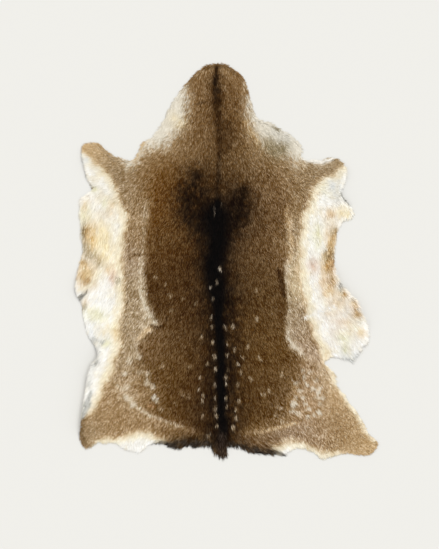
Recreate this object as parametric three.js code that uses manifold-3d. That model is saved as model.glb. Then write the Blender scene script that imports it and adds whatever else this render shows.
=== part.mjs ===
import * as THREE from 'three';
import { mergeVertices } from 'three/addons/utils/BufferGeometryUtils.js';
import Module from 'manifold-3d';

// A tanned fallow deer hide laid out flat with its hair side up and its neck toward +Y.
// It is one sheet of skin, and the coat lies on it, so the solid is the two together.
// Everything is in millimetres. A place on the hide is [across, along]: across is measured
// from the spine toward +X, and along from the middle of the back toward the neck.

// The sheet
const SKIN = 2; // the tanned skin alone
const COAT_AT_RIM = 3; // hair over the skin at the very edge
const COAT_THIN = 7; // the short hair of legs and belly
const RIM_REACH = 32; // how far in from the edge the coat reaches its full depth

// The facets
const PITCH = 17.5; // spacing of the facets of the hair side and of the lifted flesh side
const CURVE_STEPS = 2; // straight stretches of the rim between two of its points
const MARGIN = 20; // how far an uncut block stands out past what it cuts
const CUTTER_HEIGHT = 80; // the upright cutter is taller than any lifted edge
const PINCH = 0.5; // the air under a lifted edge starts where the edge is this far up

// The rim, anticlockwise from the tip of the neck, one stretch of points for each part
const RIM = {
  neckLeft: [[-6, 577], [-38, 571], [-61, 555], [-87, 531], [-104, 510], [-128, 479], [-148, 444],
    [-160, 415], [-177, 389], [-195, 364], [-223, 348], [-238, 328], [-244, 307]],
  leftArmpit: [[-258, 293], [-278, 299], [-302, 306]],
  leftForeleg: [[-325, 320], [-342, 336], [-357, 344], [-383, 345], [-402, 341], [-405, 322],
    [-403, 296], [-394, 264], [-389, 238], [-374, 215], [-386, 200], [-402, 186]],
  leftFlank: [[-409, 151], [-406, 107], [-405, 70], [-400, 41], [-407, 3], [-415, -38], [-419, -75],
    [-412, -102], [-403, -122], [-400, -151], [-392, -189], [-380, -220], [-363, -243], [-354, -262]],
  leftHindLeg: [[-360, -281], [-374, -302], [-383, -325], [-387, -360], [-394, -394], [-402, -432],
    [-406, -476], [-409, -516], [-400, -539], [-389, -547], [-371, -538], [-351, -526], [-334, -532],
    [-316, -526], [-296, -532], [-278, -545], [-252, -551], [-226, -550], [-206, -535]],
  rumpLeft: [[-183, -529], [-151, -539], [-116, -545], [-87, -539], [-55, -542], [-32, -538]],
  tail: [[-23, -557], [-6, -571], [12, -576], [25, -566], [29, -541]],
  rumpRight: [[55, -545], [87, -557], [122, -561], [157, -563], [189, -563], [203, -551]],
  rightHindLeg: [[223, -541], [249, -547], [273, -557], [290, -573], [313, -570], [345, -561],
    [377, -558], [406, -564], [432, -564], [448, -555], [461, -532], [451, -516], [434, -502],
    [423, -479], [406, -450], [392, -429], [374, -409], [363, -386], [344, -365], [335, -334],
    [319, -310], [306, -290]],
  rightFlank: [[325, -278], [351, -284], [375, -299], [389, -302], [406, -276], [423, -249],
    [432, -218], [429, -183], [419, -160], [406, -131], [392, -107], [377, -93], [357, -70],
    [344, -49], [335, -26], [331, 0], [335, 35], [338, 64], [345, 90], [355, 109], [374, 125],
    [390, 139], [380, 157]],
  rightForeleg: [[365, 177], [355, 197], [361, 220], [370, 244], [371, 264], [364, 281], [351, 294],
    [328, 302], [307, 300], [290, 294], [267, 296], [249, 297]],
  neckRight: [[239, 310], [238, 331], [226, 348], [206, 365], [177, 384], [145, 403], [110, 415],
    [100, 435], [90, 464], [84, 490], [73, 522], [58, 545], [35, 563], [15, 573]],
};

// Where the coat is deeper or thinner than on the legs: each swell is a soft oval mound
const SWELLS = [
  { name: 'back', across: 0, along: -70, halfWidth: 190, halfLength: 430, rise: 6 },
  { name: 'neck', across: -20, along: 410, halfWidth: 120, halfLength: 190, rise: 7 },
  { name: 'left shoulder', across: -110, along: 150, halfWidth: 80, halfLength: 110, rise: 3 },
  { name: 'right shoulder', across: 95, along: 190, halfWidth: 80, halfLength: 110, rise: 2.5 },
  { name: 'hollow of the loins', across: 60, along: 20, halfWidth: 70, halfLength: 60, rise: -2 },
  { name: 'left ribs', across: -150, along: -70, halfWidth: 60, halfLength: 90, rise: 2 },
  { name: 'right ribs', across: 150, along: -130, halfWidth: 55, halfLength: 80, rise: 2 },
  { name: 'left haunch', across: -190, along: -390, halfWidth: 110, halfLength: 90, rise: 3 },
  { name: 'right haunch', across: 190, along: -400, halfWidth: 110, halfLength: 90, rise: 3 },
  { name: 'left belly', across: -330, along: -140, halfWidth: 60, halfLength: 80, rise: 3 },
  { name: 'right belly', across: 370, along: -220, halfWidth: 60, halfLength: 70, rise: 3 },
  { name: 'root of the tail', across: 0, along: -500, halfWidth: 40, halfLength: 60, rise: 3 },
];

// Wrinkles, laps and partings of the coat: a rise below nought is a trough
const WRINKLES = [
  { name: 'left loin wrinkle', width: 20, rise: -5,
    path: [[-265, 17], [-232, 22], [-195, 20], [-150, 32]] },
  { name: 'left stifle wrinkle', width: 18, rise: -5,
    path: [[-202, -186], [-178, -190], [-160, -182], [-154, -158]] },
  { name: 'right loin fold', width: 20, rise: -6,
    path: [[170, -20], [177, -46], [186, -74], [196, -100]] },
  { name: 'left flank lap', width: 24, rise: 9,
    path: [[-335, -14], [-354, -38], [-376, -62], [-412, -82]] },
  { name: 'foot of the left flank lap', width: 18, rise: -4,
    path: [[-322, -34], [-345, -66], [-368, -92], [-398, -112]] },
  { name: 'right flank parting', width: 20, rise: 6,
    path: [[246, -163], [276, -151], [305, -139], [332, -130]] },
  { name: 'left armpit pucker', width: 18, rise: -3,
    path: [[-386, 228], [-366, 212], [-340, 216]] },
  { name: 'right armpit pucker', width: 18, rise: -3,
    path: [[364, 176], [345, 200], [318, 196]] },
  { name: 'left hind fold', width: 20, rise: 5,
    path: [[-377, -221], [-352, -230], [-330, -228]] },
  { name: 'neck nick', width: 16, rise: -4,
    path: [[-66, 458], [-38, 462]] },
];

// Edges that have curled up off the ground as the skin dried: reach is measured from the edge
const CURLS = [
  { name: 'left hind leg', reach: 46, lift: 20,
    path: [[-356, -270], [-378, -310], [-388, -360], [-398, -410], [-406, -470]] },
  { name: 'left flank lap', reach: 34, lift: 10, path: [[-419, -55], [-416, -92]] },
  { name: 'left foreleg', reach: 30, lift: 6, path: [[-404, 305], [-394, 262]] },
  { name: 'right foreleg', reach: 30, lift: 7, path: [[371, 270], [369, 238]] },
  { name: 'right armpit', reach: 34, lift: 9, path: [[356, 196], [372, 168]] },
  { name: 'right flank', reach: 42, lift: 14,
    path: [[338, -36], [357, -70], [380, -96], [400, -120], [420, -164]] },
];

// Distance from a place to the stretch between two points
function distanceToStretch(x, y, [ax, ay], [bx, by]) {
  const length2 = (bx - ax) ** 2 + (by - ay) ** 2;
  const along = ((x - ax) * (bx - ax) + (y - ay) * (by - ay)) / length2;
  const t = THREE.MathUtils.clamp(along, 0, 1);
  return Math.hypot(x - ax - t * (bx - ax), y - ay - t * (by - ay));
}

function distanceToPath(x, y, path) {
  let nearest = Infinity;
  for (let i = 1; i < path.length; i += 1) {
    nearest = Math.min(nearest, distanceToStretch(x, y, path[i - 1], path[i]));
  }
  return nearest;
}

// The whole rim as one smooth closed curve through its points, as a list of [across, along]
function rimPoints() {
  const corners = Object.values(RIM).flat();
  const curve = new THREE.CatmullRomCurve3(
    corners.map(([x, y]) => new THREE.Vector3(x, y, 0)), true, 'centripetal');
  return curve.getPoints(corners.length * CURVE_STEPS).slice(0, -1).map((p) => [p.x, p.y]);
}

function isInside(x, y, rim) {
  let inside = false;
  for (let i = 0, j = rim.length - 1; i < rim.length; j = i, i += 1) {
    const [ax, ay] = rim[i];
    const [bx, by] = rim[j];
    if ((ay > y) !== (by > y) && x < ax + ((bx - ax) * (y - ay)) / (by - ay)) {
      inside = !inside;
    }
  }
  return inside;
}

// A soft bump: 1 on its middle, 0 from its reach outward, and level at both
function bump(distance, reach) {
  const t = Math.min(distance / reach, 1);
  return (1 - t * t) ** 2;
}

// Height of the flesh side over the ground near one curled edge
function liftOf(curl, x, y) {
  return curl.lift * bump(distanceToPath(x, y, curl.path), curl.reach);
}

// Depth of skin and coat together, from a thin rim to the full coat further in
function depthAt(x, y, rim) {
  let coat = COAT_THIN;
  for (const s of SWELLS) {
    coat += s.rise * Math.exp(-(((x - s.across) / s.halfWidth) ** 2)
      - (((y - s.along) / s.halfLength) ** 2));
  }
  for (const w of WRINKLES) {
    coat += w.rise * bump(distanceToPath(x, y, w.path), w.width);
  }
  const inward = isInside(x, y, rim) ? distanceToPath(x, y, [...rim, rim[0]]) : 0;
  const full = THREE.MathUtils.smoothstep(inward, 0, RIM_REACH);
  return SKIN + THREE.MathUtils.lerp(COAT_AT_RIM, coat, full);
}

// A block from below the ground up to a height that is worked out for each place on its top
function blockUnder(box, heightAt) {
  const size = box.getSize(new THREE.Vector2());
  const middle = box.getCenter(new THREE.Vector2());
  const across = Math.round(size.x / PITCH);
  const along = Math.round(size.y / PITCH);
  const geometry = new THREE.BoxGeometry(size.x, size.y, 2 * MARGIN, across, along, 1);
  geometry.translate(middle.x, middle.y, 0);
  const position = geometry.attributes.position;
  for (let i = 0; i < position.count; i += 1) {
    if (position.getZ(i) > 0) {
      position.setZ(i, heightAt(position.getX(i), position.getY(i)));
    }
  }
  return geometry;
}

// The uncut sheet, whose top is the hair side
function uncutSheet(rim, box) {
  return blockUnder(box.clone().expandByScalar(MARGIN), (x, y) => {
    const lift = Math.max(...CURLS.map((curl) => liftOf(curl, x, y)));
    return lift + depthAt(x, y, rim);
  });
}

// The air under one curled edge
function airUnder(curl) {
  const corners = curl.path.map(([x, y]) => new THREE.Vector2(x, y));
  const box = new THREE.Box2().setFromPoints(corners).expandByScalar(curl.reach + MARGIN);
  return blockUnder(box, (x, y) => liftOf(curl, x, y) - PINCH);
}

// An upright block with the outline of the hide, standing on the ground
function cutter(rim) {
  const shape = new THREE.Shape(rim.map(([x, y]) => new THREE.Vector2(x, y)));
  return new THREE.ExtrudeGeometry(shape, { depth: CUTTER_HEIGHT, bevelEnabled: false });
}

const wasm = await Module();
wasm.setup();

function toManifold(geometry) {
  geometry.deleteAttribute('normal');
  geometry.deleteAttribute('uv');
  const merged = mergeVertices(geometry, 1e-4);
  return new wasm.Manifold(new wasm.Mesh({
    numProp: 3,
    vertProperties: new Float32Array(merged.attributes.position.array),
    triVerts: new Uint32Array(merged.index.array),
  }));
}

function toGeometry(solid) {
  const mesh = solid.getMesh();
  const geometry = new THREE.BufferGeometry();
  geometry.setAttribute('position', new THREE.BufferAttribute(mesh.vertProperties, 3));
  geometry.setIndex(new THREE.BufferAttribute(mesh.triVerts, 1));
  return geometry;
}

function makeHide() {
  const rim = rimPoints();
  const box = new THREE.Box2().setFromPoints(rim.map(([x, y]) => new THREE.Vector2(x, y)));
  let sheet = toManifold(uncutSheet(rim, box)).intersect(toManifold(cutter(rim)));
  for (const curl of CURLS) {
    sheet = sheet.subtract(toManifold(airUnder(curl)));
  }
  const geometry = toGeometry(sheet);
  const middle = box.getCenter(new THREE.Vector2());
  geometry.translate(-middle.x, -middle.y, 0);
  geometry.computeVertexNormals();
  const coat = new THREE.MeshStandardMaterial({ color: 0x6b5130, roughness: 0.85, metalness: 0 });
  const hide = new THREE.Mesh(geometry, coat);
  hide.name = 'hide';
  return hide;
}

const group = new THREE.Group();
group.add(makeHide());

export default group;
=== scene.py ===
import math

import bpy
import numpy as np
from bpy.props import FloatProperty, FloatVectorProperty, IntProperty, PointerProperty
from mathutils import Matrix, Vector
from mathutils.bvhtree import BVHTree
from mathutils.kdtree import KDTree


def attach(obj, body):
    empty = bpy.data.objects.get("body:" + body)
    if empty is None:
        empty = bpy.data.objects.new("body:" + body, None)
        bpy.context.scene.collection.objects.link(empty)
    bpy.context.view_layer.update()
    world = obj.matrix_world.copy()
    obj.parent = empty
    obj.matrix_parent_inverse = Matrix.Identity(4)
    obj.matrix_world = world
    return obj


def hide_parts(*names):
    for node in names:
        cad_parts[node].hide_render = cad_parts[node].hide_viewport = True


bl_info = {
    "name": "Fallow Deer Hide",
    "version": (1, 0, 0),
    "blender": (4, 5, 0),
    "location": "View3D > Sidebar > Hide",
    "description": "A tanned fallow deer hide with its hair on, laid out flat",
    "category": "Object",
}

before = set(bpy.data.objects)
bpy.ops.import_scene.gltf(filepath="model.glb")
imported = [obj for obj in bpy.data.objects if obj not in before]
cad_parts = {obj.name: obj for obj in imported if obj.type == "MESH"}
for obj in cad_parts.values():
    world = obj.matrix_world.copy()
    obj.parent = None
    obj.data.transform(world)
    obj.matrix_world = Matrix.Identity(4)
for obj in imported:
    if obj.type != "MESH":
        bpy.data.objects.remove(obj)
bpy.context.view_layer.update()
NODE = "hide"
BODY = "root"

# Places on the hide are in millimetres in all the tables: across is measured from the spine
# toward +X, and along from the middle of the back toward the neck, which is +Y.


# ---------------------------------------------------------------------------------------------
# Colours

def srgb(code):
    """An sRGB hex code as three numbers from 0 to 1, still in sRGB."""
    return tuple(int(code[i:i + 2], 16) / 255 for i in (0, 2, 4))


def linear(colour):
    """sRGB numbers turned to linear light: the low end is a straight line, the rest a power curve."""
    colour = np.asarray(colour, dtype=float)
    return np.where(colour <= 0.04045, colour / 12.92, ((colour + 0.055) / 1.055) ** 2.4)


def tone(name, code, description):
    """A colour that a user can change, held in sRGB."""
    return FloatVectorProperty(name=name, description=description, subtype="COLOR_GAMMA",
                               size=3, min=0, max=1, default=srgb(code))


class CoatTones(bpy.types.PropertyGroup):
    """The colours of the coat, the stains and the skin."""
    soot: tone("Soot", "040100", "Stripe along the back")
    brush: tone("Brush", "28221C", "Black hair at the rump")
    smoke: tone("Smoke", "2C2119", "Hair of the tail")
    pitch: tone("Pitch", "1A0E02", "Dark patches on the shoulders")
    peat: tone("Peat", "331F09", "Dark hair beside the stripe")
    umber: tone("Umber", "4A3012", "Darkest part of the left side")
    russet: tone("Russet", "5B3E19", "Warm brown of the haunches")
    auburn: tone("Auburn", "6A461B", "Warm brown of the left side")
    cocoa: tone("Cocoa", "5A4021", "Brown of the hindquarters")
    chestnut: tone("Chestnut", "664928", "Brown of the right side")
    walnut: tone("Walnut", "7D5E3B", "Brown of the neck")
    hazel: tone("Hazel", "94754F", "Lighter brown of the shoulders")
    fawn: tone("Fawn", "A4835B", "Short hair of the legs")
    dun: tone("Dun", "A88F6D", "Flanks near the shoulders")
    pale_dun: tone("Pale dun", "AD9277", "Flanks near the hind legs")
    sand: tone("Sand", "CDA97B", "Tips of the legs")
    frost: tone("Frost", "CFBA9C", "Pale lines and spots")
    blush: tone("Blush", "D2AE8A", "Pinkish haze over the haunches")
    oat: tone("Oat", "CFB68F", "Right flank beside the white")
    moss: tone("Moss", "908060", "Greenish grey patch beside the neck")
    ash: tone("Ash", "E0D7C4", "Pale sides of the neck")
    biscuit: tone("Biscuit", "D6B488", "Hair where brown turns white")
    cream: tone("Cream", "F0E2C3", "Cream hair beside the brown")
    ivory: tone("Ivory", "FAF6EC", "White hair of the belly")
    straw: tone("Straw", "EAD29E", "Yellowed belly hair")
    hay: tone("Hay", "DAD5A4", "Greenish yellow tinge of belly hair")
    tan: tone("Tan", "D5A96D", "Tan stain")
    ochre: tone("Ochre", "B58B56", "Ochre stain")
    mauve: tone("Mauve", "BD9175", "Pinkish brown stain")
    rust: tone("Rust", "A9774C", "Rusty stain")
    # Olive: dark stains; near curled rims it is the dried skin edge darkened by painted shade of the
    # curl, and in the left armpit pucker it is painted shade
    olive_stain_and_shade: tone("Olive", "746648", "Dark stain at the edge")
    # Slate: painted grey shade in puckers and folds, in the notch before the left hind leg and beside
    # raised rims
    slate_shade: tone("Slate", "6B6A64", "Grey shade in a pucker")
    # Stone: painted grey shade in folds, in the notch before the left hind leg, in the right armpit
    # crease and along curled rims, over the flesh side where the left hind edge turns up; above the patch
    # right of the neck it is grey hair
    stone_grey_and_shade: tone("Stone", "B3B2AB", "Grey of an edge that has curled up")
    chalk: tone("Chalk", "E0E1DD", "Cool white of the legs")
    suede: tone("Suede", "D8CBB2", "Flesh side of the tanned skin")


class HideSizes(bpy.types.PropertyGroup):
    """The sizes of skin and hair."""
    spine_x: FloatProperty(
        name="Spine", description="Where the spine lies, across from the middle of the hide",
        default=-0.021, unit="LENGTH", precision=4)
    skin_thickness: FloatProperty(
        name="Skin thickness", description="Thickness of the tanned skin",
        default=0.0018, min=0.0005, unit="LENGTH", precision=4)
    skin_pitch: FloatProperty(
        name="Skin mesh", description="Spacing of the skin's mesh",
        default=0.012, min=0.004, unit="LENGTH", precision=4)
    overhang: FloatProperty(
        name="Overhang", description="How far hair that points outward reaches past the skin",
        default=0.010, min=0, unit="LENGTH", precision=4)
    lock_spacing: FloatProperty(
        name="Lock spacing", description="Distance between neighbouring locks of hair",
        default=0.00175, min=0.001, unit="LENGTH", precision=5)
    lock_width: FloatProperty(
        name="Lock width", description="Width of a lock of hair at its widest",
        default=0.0022, min=0.0005, unit="LENGTH", precision=4)
    openness: FloatProperty(
        name="Openness", description="Share of the light that the hairs don't take from each other",
        default=0.57, min=0.1, max=1)
    field_step: FloatProperty(
        name="Height grid", description="Step of the grid on which the frame's heights are read",
        default=0.004, min=0.002, unit="LENGTH", precision=4)
    seed: IntProperty(name="Seed", description="Changes where each lock falls", default=7, min=0)


class StageSizes(bpy.types.PropertyGroup):
    """Floor, light and camera."""
    floor: FloatVectorProperty(
        name="Floor", description="Colour of the floor", subtype="COLOR_GAMMA",
        size=3, min=0, max=1, default=srgb("D3D2CE"))
    floor_width: FloatProperty(
        name="Floor width", description="Side of the square floor",
        default=60, min=2, unit="LENGTH")
    sky: FloatProperty(name="Fill light", description="Strength of the light from all round",
                       default=0.74, min=0)
    sun: FloatProperty(name="Key light", description="Strength of the soft light from high on the right",
                       default=2.1, min=0)
    sun_width: FloatProperty(
        name="Key light width", description="Angle that the soft light fills as seen from the hide",
        default=math.radians(45), subtype="ANGLE")
    sun_from: FloatVectorProperty(
        name="Key light from", description="The way from the hide to the key light",
        subtype="DIRECTION", size=3, default=(0.3, 0.35, 1))
    camera_height: FloatProperty(
        name="Camera height", description="Height of the camera over the floor",
        default=4, min=1, unit="LENGTH")
    picture_height: FloatProperty(
        name="Picture height", description="Length of floor that the picture takes in",
        default=1.592, min=0.1, unit="LENGTH")
    aim: FloatVectorProperty(
        name="Aim", description="The place under the camera, from the middle of the hide",
        default=(-0.0225, -0.037), size=2, unit="LENGTH", precision=4)


class HideSettings(bpy.types.PropertyGroup):
    """All that a user may change."""
    tones: PointerProperty(type=CoatTones)
    sizes: PointerProperty(type=HideSizes)
    stage: PointerProperty(type=StageSizes)


# ---------------------------------------------------------------------------------------------
# Where the colours lie. An outline is rows of across and along, and the first line of any other
# table names its columns.

# The edge between brown and white hair, as a closed line round the brown
BROWN_EDGE = (
    # left foreleg and flank, from the front backward
    (-391, 316), (-377, 296), (-357, 278), (-339, 264), (-322, 244), (-310, 220), (-302, 197),
    (-297, 174), (-289, 160), (-278, 149), (-273, 133), (-273, 116), (-277, 96), (-281, 75),
    (-284, 46), (-287, 12), (-285, -17), (-284, -50), (-284, -81), (-284, -110), (-287, -139),
    (-290, -168), (-293, -197), (-293, -226), (-296, -249), (-304, -270), (-310, -290),
    (-316, -313), (-325, -336), (-336, -360), (-345, -380), (-357, -400), (-365, -423),
    (-383, -441), (-400, -452),
    # round the tip of the left hind leg, off the hide
    (-440, -460), (-440, -580), (-390, -560),
    # behind the left hind leg
    (-357, -518), (-339, -514), (-319, -514), (-296, -515), (-284, -510), (-267, -502),
    (-246, -496), (-226, -493), (-203, -496), (-186, -505), (-174, -513), (-154, -518),
    # behind the tail, off the hide
    (-150, -600), (155, -600),
    # behind the right hind leg
    (160, -534), (177, -528), (189, -522), (206, -522), (223, -525), (241, -531), (258, -537),
    (276, -547), (293, -557), (319, -558), (348, -557), (377, -557), (400, -575),
    # round the right hind leg, off the hide
    (500, -600), (500, -330), (340, -320), (312, -296),
    # right flank and foreleg, from the back forward
    (305, -284), (296, -261), (287, -235), (276, -212), (267, -183), (255, -162), (255, -145),
    (252, -110), (244, -81), (238, -52), (232, -23), (235, 0), (235, 29), (230, 64), (238, 93),
    (241, 122), (245, 142), (255, 149), (262, 162), (268, 180), (264, 197), (273, 212),
    (290, 226), (310, 241), (337, 245), (350, 266), (366, 277),
    # round the neck, off the hide
    (400, 300), (420, 650), (-440, 650), (-440, 330),
)

# The darker brown of the back, down to the pale lines on flanks and haunches
SADDLE_EDGE = (
    # left side, from the front backward
    (-203, 354), (-209, 252), (-212, 165), (-218, 116), (-220, 35), (-221, -26), (-216, -78),
    (-212, -110), (-200, -145), (-192, -174), (-215, -197), (-235, -223), (-244, -238),
    (-235, -273), (-255, -307), (-278, -336), (-293, -360),
    # left haunch line
    (-284, -374), (-267, -397), (-249, -415), (-229, -429), (-203, -444), (-174, -455),
    (-145, -467), (-116, -476), (-87, -481), (-58, -499), (-29, -516),
    # right haunch line
    (29, -516), (61, -499), (93, -496), (122, -490), (145, -484), (174, -479), (203, -470),
    (232, -461), (261, -452), (284, -444),
    # right side, from the back forward
    (305, -415), (307, -380), (293, -342), (273, -307), (247, -278), (223, -258), (197, -235),
    (194, -186), (203, -136), (197, -87), (191, -44), (192, -12), (198, 29), (198, 70),
    (197, 119), (200, 180), (186, 252), (160, 354),
)

# The pale sides of the neck, each closed off the hide
NECK_SIDES = (
    ((-104, 516), (-93, 493), (-88, 455), (-94, 412), (-118, 373), (-140, 346), (-165, 327),
     (-198, 327), (-222, 315), (-236, 298), (-252, 276), (-268, 272), (-300, 325), (-290, 586)),
    ((88, 514), (79, 472), (77, 440), (76, 412), (88, 382), (100, 356), (128, 338), (165, 322),
     (192, 300), (218, 284), (240, 288), (290, 325), (290, 586), (93, 586)),
)

# Browns outside the back's darker field
OUTER_PLACES = (
    # across, along, reach, tone
    (-9, 560, 50, "hazel"), (-55, 493, 60, "walnut"), (38, 493, 60, "walnut"),
    (94, 338, 24, "hazel"), (-60, 392, 60, "walnut"), (30, 392, 60, "chestnut"), (-168, 296, 80, "hazel"),
    (148, 290, 80, "hazel"), (-371, 325, 40, "sand"), (-290, 261, 60, "dun"),
    (328, 276, 40, "dun"), (258, 255, 50, "dun"), (-280, 223, 50, "dun"),
    (-228, 240, 40, "walnut"), (-226, 160, 45, "hazel"), (-215, 60, 30, "hazel"),
    (-256, 90, 40, "hazel"), (-264, 14, 36, "pale_dun"), (-258, -46, 60, "dun"),
    (-261, -139, 60, "dun"),
    (-264, -255, 60, "dun"), (238, 194, 50, "hazel"), (222, 60, 50, "dun"),
    (228, -20, 32, "oat"), (222, -72, 28, "oat"), (226, -168, 45, "dun"),
    (255, -255, 55, "pale_dun"), (264, -222, 22, "hazel"), (290, -330, 35, "dun"),
    (-319, -435, 80, "fawn"), (-226, -458, 70, "fawn"), (-386, -502, 40, "dun"),
    (333, -499, 80, "fawn"), (325, -371, 50, "sand"), (423, -534, 50, "sand"),
    (223, -502, 60, "pale_dun"), (-96, -502, 60, "russet"), (102, -510, 60, "chestnut"),
)

# Browns of the back's darker field
SADDLE_PLACES = (
    # across, along, reach, tone
    (-160, 194, 60, "auburn"), (-154, 99, 60, "auburn"), (-130, -38, 70, "umber"),
    (-122, -139, 60, "umber"), (-150, -240, 50, "cocoa"), (-85, -340, 45, "umber"),
    (-140, -330, 45, "russet"), (-90, -410, 40, "umber"), (-150, -410, 40, "russet"),
    (-225, -380, 35, "fawn"), (-195, -235, 30, "walnut"),
    (-175, 60, 30, "cocoa"), (178, 55, 24, "hazel"), (176, 8, 20, "walnut"),
    (150, 194, 60, "walnut"), (133, 93, 60, "chestnut"),
    (116, -29, 60, "cocoa"), (100, -150, 50, "russet"), (150, -154, 45, "cocoa"),
    (130, -246, 60, "russet"), (100, -330, 50, "russet"), (150, -357, 45, "cocoa"),
    (120, -410, 40, "russet"), (180, -420, 35, "cocoa"), (250, -405, 40, "fawn"),
    (0, 290, 60, "cocoa"),
)

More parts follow.
